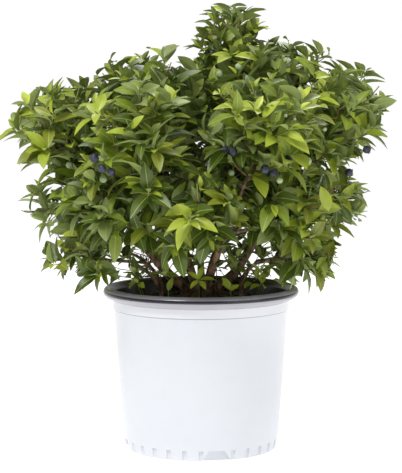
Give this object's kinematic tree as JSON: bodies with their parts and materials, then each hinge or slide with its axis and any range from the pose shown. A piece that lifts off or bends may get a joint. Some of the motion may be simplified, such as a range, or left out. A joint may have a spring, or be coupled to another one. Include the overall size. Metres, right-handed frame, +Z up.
{
  "type": "potted blueberry bush",
  "caption": "Leafy blueberry bush with spreading canes and a broad domed crown, growing in a tapered round nursery pot with a rolled lip.",
  "frame": {"origin": "centre of the pot's flat underside, on the surface that the pot stands on", "axes": "+Z up, the front of the bush towards -Y, +X to the right seen from the front"},
  "size_m": [0.5437, 0.5379, 0.623],
  "materials": {
    "pot_plastic": "white moulded plastic, a little glossy",
    "potting_mix": "dark damp bark and peat",
    "bark": "grey-brown bark, finely ridged",
    "foliage": "green leaves with a soft sheen"
  },
  "bodies": {
    "root": {"pot": "pot_plastic", "potting_mix": "potting_mix", "root_crown": "bark", "cane_leader": "bark", "cane_1": "bark", "cane_2": "bark", "cane_3": "bark", "cane_4": "bark", "cane_5": "bark", "cane_6": "bark", "cane_7": "bark", "cane_8": "bark", "cane_low_1": "bark", "cane_low_2": "bark", "cane_low_3": "bark", "cane_low_4": "bark", "bough_side_1": "bark", "bough_side_2": "bark", "bough_side_3": "bark", "bough_side_4": "bark", "bough_side_5": "bark", "bough_side_6": "bark", "bough_side_7": "bark", "bough_side_8": "bark", "bough_upper_1": "bark", "bough_upper_2": "bark", "bough_upper_3": "bark", "bough_upper_4": "bark", "bough_upper_5": "bark", "leaf_mass_top": "foliage", "leaf_mass_upper_1": "foliage", "leaf_mass_upper_2": "foliage", "leaf_mass_upper_3": "foliage", "leaf_mass_upper_4": "foliage", "leaf_mass_upper_5": "foliage", "leaf_mass_shoulder_1": "foliage", "leaf_mass_shoulder_2": "foliage", "leaf_mass_shoulder_3": "foliage", "leaf_mass_shoulder_4": "foliage", "leaf_mass_shoulder_5": "foliage", "leaf_mass_shoulder_6": "foliage", "leaf_mass_shoulder_7": "foliage", "leaf_mass_shoulder_8": "foliage", "leaf_mass_side_1": "foliage", "leaf_mass_side_2": "foliage", "leaf_mass_side_3": "foliage", "leaf_mass_side_4": "foliage", "leaf_mass_side_5": "foliage", "leaf_mass_side_6": "foliage", "leaf_mass_side_7": "foliage", "leaf_mass_side_8": "foliage", "leaf_mass_low_1": "foliage", "leaf_mass_low_2": "foliage", "leaf_mass_low_3": "foliage", "leaf_mass_low_4": "foliage", "leaf_mass_inner_1": "foliage", "leaf_mass_inner_2": "foliage", "leaf_mass_inner_3": "foliage", "leaf_mass_inner_4": "foliage", "leaf_mass_inner_5": "foliage"}
  },
  "joints": []
}
